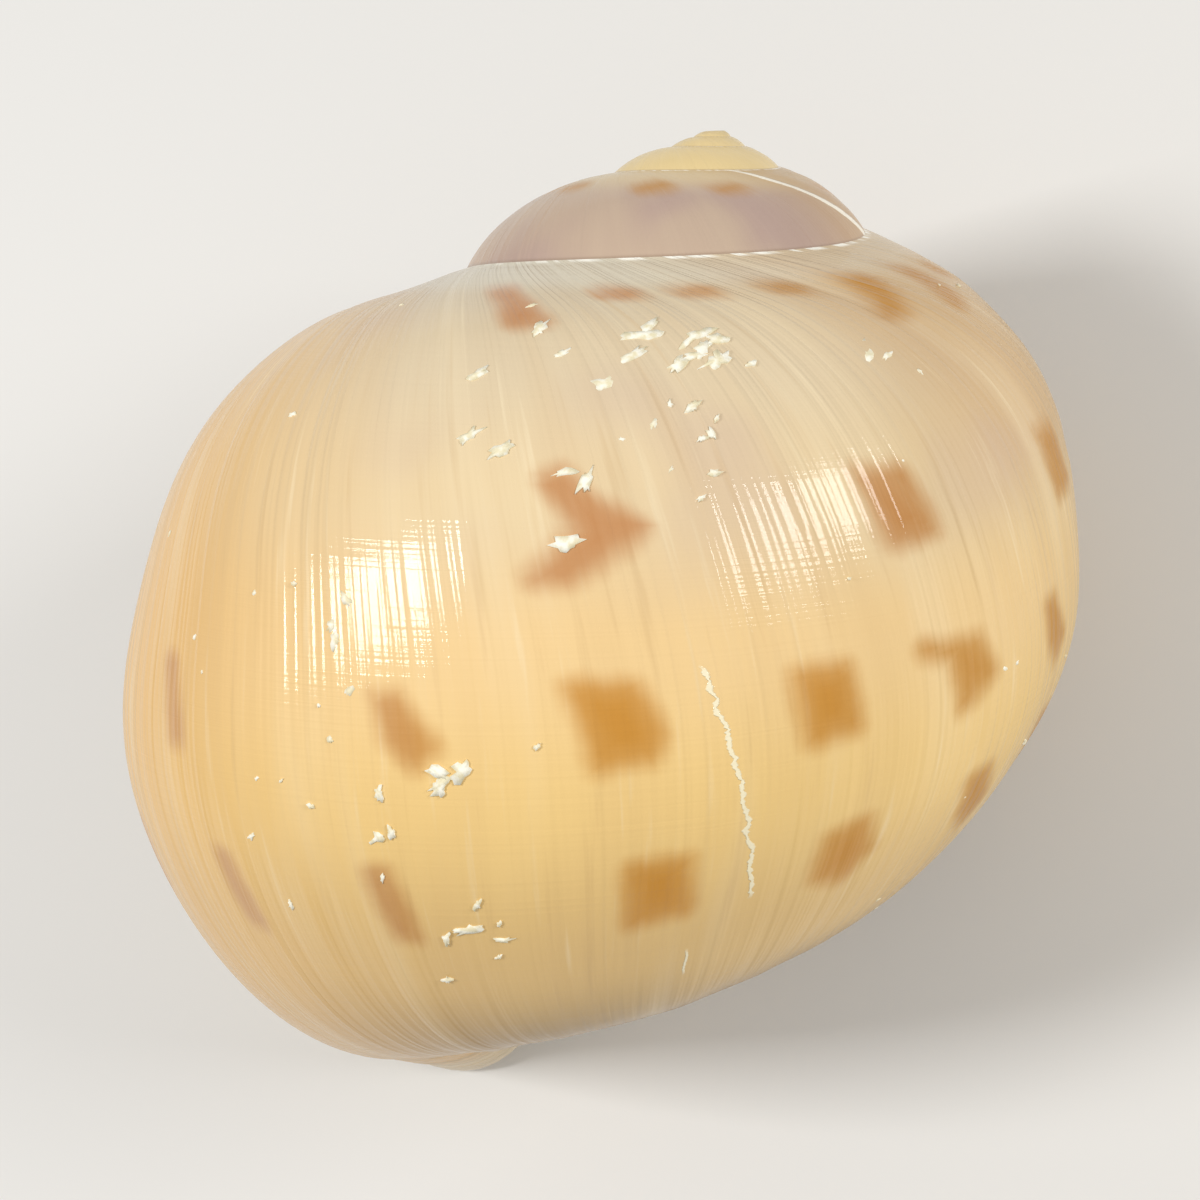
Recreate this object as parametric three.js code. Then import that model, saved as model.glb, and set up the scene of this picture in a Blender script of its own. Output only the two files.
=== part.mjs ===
// A moon snail shell: one coiled tube that widens by the same factor each turn.
// Millimetres, +Z up. The shell lies on its aperture, with its apex towards +Y.
//
// The surface is worked out around the coiling axis first. There, a place on the shell has a turn,
// which grows towards the lip, and a bearing around the middle of the whorl's section: 0 degrees
// points away from the axis, -90 to the apex and 90 to the base. "depth" is measured along the
// axis, from a point just above the apex towards the base.
import * as THREE from 'three';

const DEGREES = Math.PI / 180;

// Coiling, at the reference turn 0
const COIL_RADIUS = 11.15; // from the axis to the middle of the whorl
const COIL_DEPTH = 20.3; // from the apex level to the middle of the whorl
const COIL_GROWTH = 0.7735; // natural logarithm of the growth in one turn
const DEPTH_GROWTH = 0.842; // the same for the depth
const DEPTH_EASE = 0.049; // makes the early whorls flatter
const FIRST_TURN = -4.5; // the apex
const LIP_TURN = 0.25; // where the lip meets the body whorl
const LIP_AZIMUTH = 113.86 * DEGREES; // of that point, around the axis
const LIP_LAG = 0.16; // turns by which the lip falls back from the suture to its edge

// Section of the whorl: mean reach from its middle, and the waves that shape it
const SECTION_REACH = 10.97;
const SECTION_WAVES = [
  { order: 2, cosine: -0.32, sine: 0.137 },
  { order: 3, cosine: 0.1245, sine: -0.099 },
  { order: 4, cosine: -0.031, sine: 0.0444 },
];
const CHANNEL = { bearing: -93 * DEGREES, width: 9 * DEGREES, share: 0.034 };
const BASE_BEARING = 97 * DEGREES; // where the base turns in to the umbilicus
const FALL_BACK_BEARING = 45 * DEGREES; // where the lip has fallen back all the way
const EARLY_FALL_BACK = 0.65; // share of it that is gained close to the suture
const EARLY_WIDTH = 15 * DEGREES;

// Umbilicus and columella
const UMBILICUS_FLOOR = 23; // depth of its blind end on the axis
const WALL = 1.05; // thickness of the shell wall at the reference turn
const HOLLOW_TURNS = 1.85; // length of the hollow, from the lip inwards

// Rest: the shell is spun about its axis and tipped, and its contact spots are worn flat
const AXIS_TIP = 67.83 * DEGREES; // from upright
const WORN = 0.35; // depth of the flats

// Rounding of the lip's edge: how far it bulges, as a share of its width, and at most
const LIP_BULGE = 0.4;
const LIP_BULGE_MOST = 1;

// Fineness
const STEPS_PER_TURN = 44;
const SPIRE_ROWS = 7;
const BASE_ROW = 16; // the row at BASE_BEARING
const LAST_ROW = 22; // the row at the umbilicus floor
const HOLLOW_STEPS_PER_TURN = 20;

const clamp01 = (x) => Math.min(Math.max(x, 0), 1);
const ease = (x) => clamp01(x) ** 2 * (3 - 2 * clamp01(x));
const mix = THREE.MathUtils.lerp;

function solve(signed, low, high) {
  const sign = Math.sign(signed(low));
  for (let step = 0; step < 40; step += 1) {
    const middle = (low + high) / 2;
    if (Math.sign(signed(middle)) === sign) low = middle;
    else high = middle;
  }
  return (low + high) / 2;
}

// --- The whorl's section in a half plane through the axis: x is the radius and y the depth

const growth = (turn) => Math.exp(COIL_GROWTH * turn);

function middleOf(turn) {
  const depth = COIL_DEPTH * Math.exp(DEPTH_GROWTH * turn + DEPTH_EASE * turn ** 2);
  return new THREE.Vector2(COIL_RADIUS * growth(turn), depth);
}

function reach(turn, bearing) {
  let waves = 0;
  for (const { order, cosine, sine } of SECTION_WAVES) {
    waves += cosine * Math.cos(order * bearing) + sine * Math.sin(order * bearing);
  }
  const off = (bearing - CHANNEL.bearing) / CHANNEL.width;
  const channel = CHANNEL.share * Math.exp(-(off ** 2)) * growth(1.5 * turn);
  return SECTION_REACH * growth(turn) * (Math.exp(waves) - channel);
}

function onSection(turn, bearing) {
  const ray = new THREE.Vector2(Math.cos(bearing), Math.sin(bearing));
  return middleOf(turn).addScaledVector(ray, reach(turn, bearing));
}

function bearingOf(turn, point) {
  return point.clone().sub(middleOf(turn)).angle() - 2 * Math.PI * (point.y < middleOf(turn).y);
}

// How far a point lies outside the section of a whorl, along the ray from its middle
function outsideOf(turn, point) {
  return point.distanceTo(middleOf(turn)) - reach(turn, bearingOf(turn, point));
}

// Unit tangent of the section, pointing from the suture round to the base
function tangent(turn, bearing) {
  const small = 1e-3;
  return onSection(turn, bearing + small).sub(onSection(turn, bearing - small)).normalize();
}

function inward(turn, bearing, distance) {
  const along = tangent(turn, bearing);
  const normal = new THREE.Vector2(-along.y, along.x);
  return onSection(turn, bearing).addScaledVector(normal, distance);
}

const wall = (turn) => WALL * growth(0.6 * turn);

// Bearing at which a whorl leaves the one before it
function sutureBearing(turn) {
  const signed = (bearing) => outsideOf(turn - 1, onSection(turn, bearing));
  return solve(signed, -125 * DEGREES, -60 * DEGREES);
}

// Bearing on a whorl at which the next one covers it
function coveredBearing(turn) {
  return bearingOf(turn, onSection(turn + 1, sutureBearing(turn + 1)));
}

// Where the inside of the wall meets the whorl before: its bearing on either whorl
function innerCorner(turn) {
  const start = sutureBearing(turn);
  const signed = (bearing) => outsideOf(turn - 1, inward(turn, bearing, wall(turn)));
  const own = solve(signed, start, start + 60 * DEGREES);
  return { own, before: bearingOf(turn - 1, inward(turn, own, wall(turn))) };
}

// How far the growth line at a bearing has fallen back from where it left the suture
function lag(turn, bearing) {
  const start = sutureBearing(turn);
  const past = Math.max(bearing - start, 0);
  const early = 1 - Math.exp(-past / EARLY_WIDTH);
  const late = Math.sin(clamp01(past / (FALL_BACK_BEARING - start)) * (Math.PI / 2));
  return LIP_LAG * mix(late, early, EARLY_FALL_BACK);
}

// --- The two curves that finish a section near the axis

function bezier(start, towards, from, end, share) {
  const curve = new THREE.CubicBezierCurve(start, towards, from, end);
  return curve.getPoint(share);
}

// From the base into the umbilicus, down to its floor on the axis
function umbilicus(turn, share) {
  const size = COIL_RADIUS * growth(turn);
  const start = onSection(turn, BASE_BEARING);
  const towards = start.clone().addScaledVector(tangent(turn, BASE_BEARING), 0.62 * size);
  const opened = ease(turn - LIP_TURN + LIP_LAG + 1);
  const from = new THREE.Vector2(mix(1.3, 2.7, opened), UMBILICUS_FLOOR + mix(-1.3, 1.7, opened));
  return bezier(start, towards, from, new THREE.Vector2(0, UMBILICUS_FLOOR), share);
}

// From the inside of the base up the columella to the foot of the whorl before
const COLUMELLA_BEARING = 72 * DEGREES;
function columella(turn, share) {
  const size = COIL_RADIUS * growth(turn);
  const start = inward(turn, COLUMELLA_BEARING, wall(turn));
  const towards = start.clone().addScaledVector(tangent(turn, COLUMELLA_BEARING), 0.55 * size);
  const end = onSection(turn - 1, BASE_BEARING);
  const from = end.clone().add(new THREE.Vector2(0.12 * size, 1.05 * size));
  return bezier(start, towards, from, end, share);
}

// --- Mesh

const vertices = [];
const triangles = [];

function addVertex(turn, point) {
  const azimuth = LIP_AZIMUTH - 2 * Math.PI * (turn - LIP_TURN);
  vertices.push(new THREE.Vector3(
    point.x * Math.cos(azimuth), point.x * Math.sin(azimuth), -point.y,
  ));
  return vertices.length - 1;
}

function addTriangle(a, b, c) {
  if (a !== b && b !== c && c !== a) triangles.push([a, b, c]);
}

function addQuad(a, b, c, d) {
  addTriangle(a, b, c);
  addTriangle(a, c, d);
}

// Fills the strip between two chains of vertices, stepping along whichever is behind
function addStrip(left, right) {
  const lengths = (chain) => {
    const sums = [0];
    for (let k = 1; k < chain.length; k += 1) {
      sums.push(sums[k - 1] + vertices[chain[k]].distanceTo(vertices[chain[k - 1]]));
    }
    return sums.map((sum) => sum / sums[chain.length - 1]);
  };
  const leftShare = lengths(left);
  const rightShare = lengths(right);
  let i = 0;
  let j = 0;
  while (i < left.length - 1 || j < right.length - 1) {
    const stepLeft = j === right.length - 1
      || (i < left.length - 1 && leftShare[i + 1] <= rightShare[j + 1]);
    if (stepLeft) {
      addTriangle(left[i + 1], left[i], right[j]);
      i += 1;
    } else {
      addTriangle(right[j + 1], left[i], right[j]);
      j += 1;
    }
  }
}

// Outer skin: columns of vertices run across the whorl from its suture. Up to the last turn they
// stop where the next whorl covers them, which is the first vertex of the column one turn on.
const COLUMNS = Math.round((LIP_TURN - FIRST_TURN) * STEPS_PER_TURN);
const LAST_WHORL = COLUMNS - STEPS_PER_TURN; // the first column of the last whorl
const turnOf = (column) => LIP_TURN + (column - COLUMNS) / STEPS_PER_TURN;

const corner = innerCorner(LIP_TURN);
const cornerLag = lag(LIP_TURN, corner.own);

// Bearings of a column's rows, as shares of the way from the suture to the base. At the lip they
// are even. One turn earlier a row lies on the next suture and one on the corner of the hollow.
function evenShare(row) {
  return row / BASE_ROW;
}

function coveredShare(row) {
  const turn = LIP_TURN - 1;
  const start = sutureBearing(turn);
  const span = BASE_BEARING - start;
  if (row <= SPIRE_ROWS) return (row / SPIRE_ROWS) * ((coveredBearing(turn) - start) / span);
  const share = (row - SPIRE_ROWS - 1) / (BASE_ROW - SPIRE_ROWS - 1);
  return (mix(corner.before, BASE_BEARING, share) - start) / span;
}

function coveredLag(row) {
  if (row <= SPIRE_ROWS) return 0;
  const share = (row - SPIRE_ROWS - 1) / (BASE_ROW - SPIRE_ROWS - 1);
  return mix(cornerLag, LIP_LAG, ease(share));
}

function skinPoint(column, row) {
  const turn = turnOf(column);
  if (column < LAST_WHORL) {
    const bearing = mix(sutureBearing(turn), coveredBearing(turn), row / SPIRE_ROWS);
    return { turn, point: onSection(turn, bearing) };
  }
  const along = (column - LAST_WHORL) / STEPS_PER_TURN;
  if (row > BASE_ROW) {
    const fallen = turn - LIP_LAG;
    const share = (row - BASE_ROW) / (LAST_ROW - BASE_ROW);
    return { turn: fallen, point: umbilicus(fallen, share) };
  }
  const share = mix(coveredShare(row), evenShare(row), along);
  const here = mix(sutureBearing(turn), BASE_BEARING, share);
  const fallen = turn - mix(coveredLag(row), lag(turn, here), along);
  const bearing = mix(sutureBearing(fallen), BASE_BEARING, share);
  return { turn: fallen, point: onSection(fallen, bearing) };
}

const crown = onSection(FIRST_TURN, -90 * DEGREES);
const apex = addVertex(FIRST_TURN, new THREE.Vector2(0, crown.y));
const umbilicusFloor = addVertex(0, new THREE.Vector2(0, UMBILICUS_FLOOR));
const skin = new Map();

function skinVertex(column, row) {
  if (column === 0 || (row === 0 && column <= STEPS_PER_TURN)) return apex;
  if (column <= LAST_WHORL && row === SPIRE_ROWS) return skinVertex(column + STEPS_PER_TURN, 0);
  if (row === LAST_ROW) return umbilicusFloor;
  const name = `${column} ${row}`;
  if (!skin.has(name)) {
    const { turn, point } = skinPoint(column, row);
    skin.set(name, addVertex(turn, point));
  }
  return skin.get(name);
}

function buildSkin() {
  for (let column = 0; column < COLUMNS; column += 1) {
    const rows = column < LAST_WHORL ? SPIRE_ROWS : LAST_ROW;
    for (let row = 0; row < rows; row += 1) {
      addQuad(
        skinVertex(column, row),
        skinVertex(column + 1, row),
        skinVertex(column + 1, row + 1),
        skinVertex(column, row + 1),
      );
    }
  }
}

// Hollow: rings of vertices run along the inside of the wall and the columella, then back over the
// whorl before. The first ring shares that last stretch with the outer skin.
const WALL_ROWS = 2 * LAST_ROW - BASE_ROW; // as many as the outer edge of the lip has
const UNDER_WALL_ROWS = BASE_ROW;

function hollowRing(step) {
  const turn = LIP_TURN - step / HOLLOW_STEPS_PER_TURN;
  const leaning = ease(1 - (LIP_TURN - turn) / 0.6);
  const { own, before } = innerCorner(turn);
  const overWhorl = [];
  for (let row = SPIRE_ROWS + 1; row <= BASE_ROW; row += 1) {
    const share = (row - SPIRE_ROWS - 1) / (BASE_ROW - SPIRE_ROWS - 1);
    const fallen = turn - 1 - leaning * coveredLag(row);
    const bearing = mix(before, BASE_BEARING, share);
    overWhorl.push(step === 0
      ? skinVertex(LAST_WHORL, row)
      : addVertex(fallen, onSection(fallen, bearing)));
  }
  const underWall = [overWhorl[0]];
  for (let row = 1; row < WALL_ROWS; row += 1) {
    if (row <= UNDER_WALL_ROWS) {
      const bearing = mix(own, COLUMELLA_BEARING, row / UNDER_WALL_ROWS);
      const fallen = turn - leaning * lag(turn, bearing);
      underWall.push(addVertex(fallen, inward(fallen, bearing, wall(fallen))));
    } else {
      const fallen = turn - leaning * LIP_LAG;
      const share = (row - UNDER_WALL_ROWS) / (WALL_ROWS - UNDER_WALL_ROWS);
      underWall.push(addVertex(fallen, columella(fallen, share)));
    }
  }
  underWall.push(overWhorl[overWhorl.length - 1]);
  return { underWall, overWhorl };
}

function buildHollow() {
  const steps = Math.round(HOLLOW_TURNS * HOLLOW_STEPS_PER_TURN);
  const first = hollowRing(0);
  let ring = first;
  for (let step = 1; step <= steps; step += 1) {
    const next = hollowRing(step);
    const near = [...ring.underWall, ...ring.overWhorl.slice(1, -1).reverse()];
    const far = [...next.underWall, ...next.overWhorl.slice(1, -1).reverse()];
    for (let k = 0; k < near.length; k += 1) {
      const after = (k + 1) % near.length;
      addQuad(near[after], near[k], far[k], far[after]);
    }
    ring = next;
  }
  addStrip(ring.underWall, ring.overWhorl);
  return first.underWall;
}

// Lip: the edge of the shell around the aperture, rounded between the outer skin and the hollow
function forwardOf(vertex) {
  const columellaAzimuth = LIP_AZIMUTH + 2 * Math.PI * LIP_LAG;
  const nearAxis = 0.25 * COIL_RADIUS;
  const away = new THREE.Vector3(Math.cos(columellaAzimuth), Math.sin(columellaAzimuth), 0);
  const radial = new THREE.Vector3(vertex.x, vertex.y, 0).addScaledVector(away, nearAxis);
  return new THREE.Vector3(radial.y, -radial.x, 0).normalize();
}

function rimVertex(outer, inner) {
  const width = vertices[outer].distanceTo(vertices[inner]);
  const bulge = Math.min(LIP_BULGE * width, LIP_BULGE_MOST);
  const middle = vertices[outer].clone().lerp(vertices[inner], 0.5);
  vertices.push(middle.addScaledVector(forwardOf(middle), bulge));
  return vertices.length - 1;
}

function buildLip(innerEdge) {
  const outerEdge = [];
  for (let row = 0; row <= LAST_ROW; row += 1) outerEdge.push(skinVertex(COLUMNS, row));
  for (let row = LAST_ROW - 1; row >= BASE_ROW; row -= 1) {
    outerEdge.push(skinVertex(LAST_WHORL, row));
  }
  const last = outerEdge.length - 1;
  const rim = outerEdge.map((outer, k) => (
    k === 0 || k === last ? outer : rimVertex(outer, innerEdge[k])
  ));
  for (let k = 0; k < last; k += 1) {
    addQuad(outerEdge[k + 1], outerEdge[k], rim[k], rim[k + 1]);
    addQuad(rim[k + 1], rim[k], innerEdge[k], innerEdge[k + 1]);
  }
}

// Tips the shell on to its aperture, wears the contact spots flat and stands it on z = 0
function layDown() {
  const tip = new THREE.Matrix4().makeRotationX(-AXIS_TIP);
  for (const vertex of vertices) vertex.applyMatrix4(tip);
  const box = new THREE.Box3().setFromPoints(vertices);
  const floor = box.min.z + WORN;
  const middle = box.getCenter(new THREE.Vector3());
  for (const vertex of vertices) {
    vertex.set(vertex.x - middle.x, vertex.y - middle.y, Math.max(vertex.z - floor, 0));
  }
}

function shellGeometry() {
  buildSkin();
  buildLip(buildHollow());
  layDown();
  const geometry = new THREE.BufferGeometry();
  geometry.setAttribute('position', new THREE.Float32BufferAttribute(
    vertices.flatMap((vertex) => vertex.toArray()), 3,
  ));
  geometry.setIndex(triangles.flat());
  geometry.computeVertexNormals();
  return geometry;
}

const shellMaterial = new THREE.MeshStandardMaterial({
  color: 0xe8cfa0, roughness: 0.3, metalness: 0,
});

const shell = new THREE.Mesh(shellGeometry(), shellMaterial);
shell.name = 'shell';

const moonSnailShell = new THREE.Group();
moonSnailShell.add(shell);

export default moonSnailShell;
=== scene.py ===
"""A moon snail shell lying on its aperture, on a pale floor.

The shell's surface comes from the same coiling law as the CAD solid, at a finer pitch. A place on it
has a turn, which grows towards the lip, and a bearing around the middle of the whorl's section:
0 degrees points away from the coiling axis, -90 to the apex and 90 to the base. Lengths are in
millimetres until the mesh is made.
"""
import math

import bpy
import numpy as np
from mathutils import Matrix, Vector


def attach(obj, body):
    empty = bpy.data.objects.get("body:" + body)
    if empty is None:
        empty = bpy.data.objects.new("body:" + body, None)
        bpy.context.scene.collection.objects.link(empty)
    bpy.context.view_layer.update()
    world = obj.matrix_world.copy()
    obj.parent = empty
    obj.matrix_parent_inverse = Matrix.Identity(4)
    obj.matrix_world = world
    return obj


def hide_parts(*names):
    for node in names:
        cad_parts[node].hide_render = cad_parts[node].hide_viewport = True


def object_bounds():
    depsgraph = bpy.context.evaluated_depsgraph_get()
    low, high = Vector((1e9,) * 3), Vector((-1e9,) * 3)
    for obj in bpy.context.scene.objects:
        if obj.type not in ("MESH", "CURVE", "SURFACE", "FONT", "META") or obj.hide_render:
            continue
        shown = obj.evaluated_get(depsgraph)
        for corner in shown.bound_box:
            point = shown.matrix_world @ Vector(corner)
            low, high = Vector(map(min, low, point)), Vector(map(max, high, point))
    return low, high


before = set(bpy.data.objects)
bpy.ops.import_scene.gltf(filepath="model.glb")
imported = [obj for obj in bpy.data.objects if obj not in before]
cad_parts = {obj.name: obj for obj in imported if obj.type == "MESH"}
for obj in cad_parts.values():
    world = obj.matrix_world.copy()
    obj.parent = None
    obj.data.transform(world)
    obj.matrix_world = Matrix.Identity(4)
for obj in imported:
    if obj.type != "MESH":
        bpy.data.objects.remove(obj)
cad_low, cad_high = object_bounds()

MM = 0.001

# ---------------------------------------------------------------- coiling law, as in the CAD

COIL_RADIUS = 11.15  # from the axis to the middle of the whorl, at turn 0
COIL_DEPTH = 20.3  # from the apex level to the middle of the whorl, at turn 0
COIL_GROWTH = 0.7735  # natural logarithm of the growth in one turn
DEPTH_GROWTH = 0.842
DEPTH_EASE = 0.049
FIRST_TURN = -4.5
LIP_TURN = 0.25
LIP_AZIMUTH = math.radians(113.86)
LIP_LAG = 0.16

SECTION_REACH = 10.97
SECTION_WAVES = ((2, -0.32, 0.137), (3, 0.1245, -0.099), (4, -0.031, 0.0444))
CHANNEL_BEARING = math.radians(-93)
CHANNEL_WIDTH = math.radians(9)
CHANNEL_SHARE = 0.034
BASE_BEARING = math.radians(97)
FALL_BACK_BEARING = math.radians(45)
EARLY_FALL_BACK = 0.65  # share of the lag gained close to the suture
EARLY_WIDTH = math.radians(15)

UMBILICUS_FLOOR = 23
UMBILICUS_TOWARDS = 0.62  # how far its curve sets out along the base, in coil radii
UMBILICUS_RADII = (1.3, 2.7)  # where the curve comes in near the axis: closed, then open
UMBILICUS_DEPTHS = (-1.3, 1.7)  # the same, measured from the floor
WALL = 1.05
HOLLOW_TURNS = 1.85
LEANING_TURNS = 0.6  # the stretch of the hollow whose rings lean with the growth lines
COLUMELLA_BEARING = math.radians(72)
COLUMELLA_TOWARDS = 0.55  # how far its curve sets out along the wall, in coil radii
COLUMELLA_BACK = (0.12, 1.05)  # the way it comes in to the whorl before, in coil radii
LIP_BULGE = 0.4  # how far the rim bulges, as a share of its width, and at most
LIP_BULGE_MOST = 1.0

AXIS_TIP = math.radians(67.83)

# Fineness of the visual mesh
STEPS_PER_TURN = 240
SPIRE_ROWS = 26
BASE_ROW = 104
LAST_ROW = 134
HOLLOW_STEPS_PER_TURN = 60
RIM_ROWS = 5

BOX_MARGIN = 0.01  # how far the surface keeps inside the sides and top of the CAD box


def ease(x):
    x = np.clip(x, 0, 1)
    return x * x * (3 - 2 * x)


def mix(a, b, share):
    return a + (b - a) * share


def solve(signed, low, high):
    """The root of a function of an array, by halving."""
    low, high = np.array(low, float), np.array(high, float)
    sign = np.sign(signed(low))
    for _ in range(36):
        middle = (low + high) / 2
        before = np.sign(signed(middle)) == sign
        low, high = np.where(before, middle, low), np.where(before, high, middle)
    return (low + high) / 2


def growth(turn):
    return np.exp(COIL_GROWTH * turn)


def middle_of(turn):
    depth = COIL_DEPTH * np.exp(DEPTH_GROWTH * turn + DEPTH_EASE * turn**2)
    return np.stack([COIL_RADIUS * growth(turn), depth], -1)


def reach(turn, bearing):
    waves = sum(c * np.cos(k * bearing) + s * np.sin(k * bearing) for k, c, s in SECTION_WAVES)
    off = (bearing - CHANNEL_BEARING) / CHANNEL_WIDTH
    channel = CHANNEL_SHARE * np.exp(-(off**2)) * growth(1.5 * turn)
    return SECTION_REACH * growth(turn) * (np.exp(waves) - channel)


def on_section(turn, bearing):
    turn, bearing = np.broadcast_arrays(np.asarray(turn, float), np.asarray(bearing, float))
    ray = np.stack([np.cos(bearing), np.sin(bearing)], -1)
    return middle_of(turn) + ray * reach(turn, bearing)[..., None]


def bearing_of(turn, point):
    off = point - middle_of(turn)
    return np.arctan2(off[..., 1], off[..., 0])


def outside_of(turn, point):
    distance = np.linalg.norm(point - middle_of(turn), axis=-1)
    return distance - reach(turn, bearing_of(turn, point))


def tangent(turn, bearing):
    small = 1e-3
    along = on_section(turn, bearing + small) - on_section(turn, bearing - small)
    return along / np.linalg.norm(along, axis=-1, keepdims=True)


def inward(turn, bearing, distance):
    along = tangent(turn, bearing)
    normal = np.stack([-along[..., 1], along[..., 0]], -1)
    return on_section(turn, bearing) + normal * np.asarray(distance)[..., None]


def wall(turn):
    return WALL * growth(0.6 * turn)


def suture_bearing(turn):
    turn = np.asarray(turn, float)
    low = np.full(turn.shape, math.radians(-125))
    high = np.full(turn.shape, math.radians(-60))
    return solve(lambda bearing: outside_of(turn - 1, on_section(turn, bearing)), low, high)


def covered_bearing(turn):
    return bearing_of(turn, on_section(turn + 1, suture_bearing(turn + 1)))


def inner_corner(turn):
    turn = np.asarray(turn, float)
    start = suture_bearing(turn)

    def signed(bearing):
        return outside_of(turn - 1, inward(turn, bearing, wall(turn)))

    own = solve(signed, start, start + math.radians(60))
    return own, bearing_of(turn - 1, inward(turn, own, wall(turn)))


def lag(turn, bearing):
    """How far the growth line at a bearing has fallen back from where it left the suture."""
    start = suture_bearing(turn)
    past = np.maximum(bearing - start, 0)
    early = 1 - np.exp(-past / EARLY_WIDTH)
    late = np.sin(np.minimum(past / (FALL_BACK_BEARING - start), 1) * np.pi / 2)
    return LIP_LAG * mix(late, early, EARLY_FALL_BACK)


def bezier(start, towards, back, end, share):
    s = np.asarray(share)[..., None]
    return (
        (1 - s) ** 3 * start
        + 3 * (1 - s) ** 2 * s * towards
        + 3 * (1 - s) * s**2 * back
        + s**3 * end
    )


def umbilicus(turn, share):
    """From the base into the umbilicus, down to its floor on the axis."""
    turn, share = np.broadcast_arrays(turn, share)
    size = COIL_RADIUS * growth(turn)[..., None]
    start = on_section(turn, BASE_BEARING)
    towards = start + tangent(turn, BASE_BEARING) * UMBILICUS_TOWARDS * size
    opened = ease(turn - LIP_TURN + LIP_LAG + 1)
    depth = UMBILICUS_FLOOR + mix(*UMBILICUS_DEPTHS, opened)
    back = np.stack([mix(*UMBILICUS_RADII, opened), depth], -1)
    end = np.array([0.0, UMBILICUS_FLOOR])
    return bezier(start, towards, back, end, share)


def columella(turn, share):
    """From the inside of the base up the columella to the foot of the whorl before."""
    turn, share = np.broadcast_arrays(turn, share)
    size = COIL_RADIUS * growth(turn)[..., None]
    start = inward(turn, COLUMELLA_BEARING, wall(turn))
    towards = start + tangent(turn, COLUMELLA_BEARING) * COLUMELLA_TOWARDS * size
    end = on_section(turn - 1, BASE_BEARING)
    back = end + np.array(COLUMELLA_BACK) * size
    return bezier(start, towards, back, end, share)


def coil(turn, point):
    """A point of the half plane at a turn, in space around the coiling axis."""
    azimuth = LIP_AZIMUTH - 2 * np.pi * (turn - LIP_TURN)
    radius, depth = point[..., 0], point[..., 1]
    return np.stack([radius * np.cos(azimuth), radius * np.sin(azimuth), -depth], -1)


# ---------------------------------------------------------------- the mesh


class Surface:
    """Samples of the surface, each with its own pattern values, and faces between them.

    Samples that meet are welded into one vertex, but the faces keep each sample's own values, so
    the pattern may change abruptly at a suture.
    """

    def __init__(self):
        self.places, self.turns, self.bearings, self.insides = [], [], [], []
        self.count = 0
        self.faces = []
        self.welds = []

    def add(self, turn, bearing, places, inside):
        turn, bearing = np.broadcast_arrays(turn, bearing)
        number = turn.size
        self.places.append(places.reshape(-1, 3))
        self.turns.append(turn.ravel())
        self.bearings.append(bearing.ravel())
        self.insides.append(np.full(number, float(inside)))
        index = np.arange(self.count, self.count + number).reshape(turn.shape)
        self.count += number
        return index

    def weld(self, samples, onto):
        samples, onto = np.broadcast_arrays(samples, onto)
        self.welds.append((samples.ravel(), onto.ravel()))

    def sheet(self, grid, flip=False):
        """Quads over a grid of samples."""
        quads = np.stack([grid[:-1, :-1], grid[1:, :-1], grid[1:, 1:], grid[:-1, 1:]], -1)
        quads = quads.reshape(-1, 4)
        self.faces += (quads[:, ::-1] if flip else quads).tolist()

    def place(self, samples):
        return np.concatenate(self.places)[samples]

    def strip(self, left, right):
        """Triangles between two chains of samples, stepping along whichever is behind."""

        def shares(chain):
            steps = np.linalg.norm(np.diff(self.place(chain), axis=0), axis=1)
            total = np.concatenate([[0], np.cumsum(steps)])
            return total / total[-1]

        left_share, right_share = shares(left), shares(right)
        i = j = 0
        while i < len(left) - 1 or j < len(right) - 1:
            left_is_behind = i < len(left) - 1 and (
                j == len(right) - 1 or left_share[i + 1] <= right_share[j + 1]
            )
            if left_is_behind:
                self.faces.append([left[i + 1], left[i], right[j]])
                i += 1
            else:
                self.faces.append([right[j + 1], left[i], right[j]])
                j += 1

    def merged(self):
        """The samples' welded vertices, and the faces as lists of samples."""
        onto = np.arange(self.count)
        for samples, targets in self.welds:
            onto[samples] = targets
        while True:
            further = onto[onto]
            if (further == onto).all():
                break
            onto = further
        used, vertex = np.unique(onto, return_inverse=True)
        faces = []
        for face in self.faces:
            kept = [s for k, s in enumerate(face) if onto[s] != onto[face[k - 1]]]
            if len({onto[s] for s in kept}) > 2:
                faces.append(kept)
        return used, vertex, faces


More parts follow.
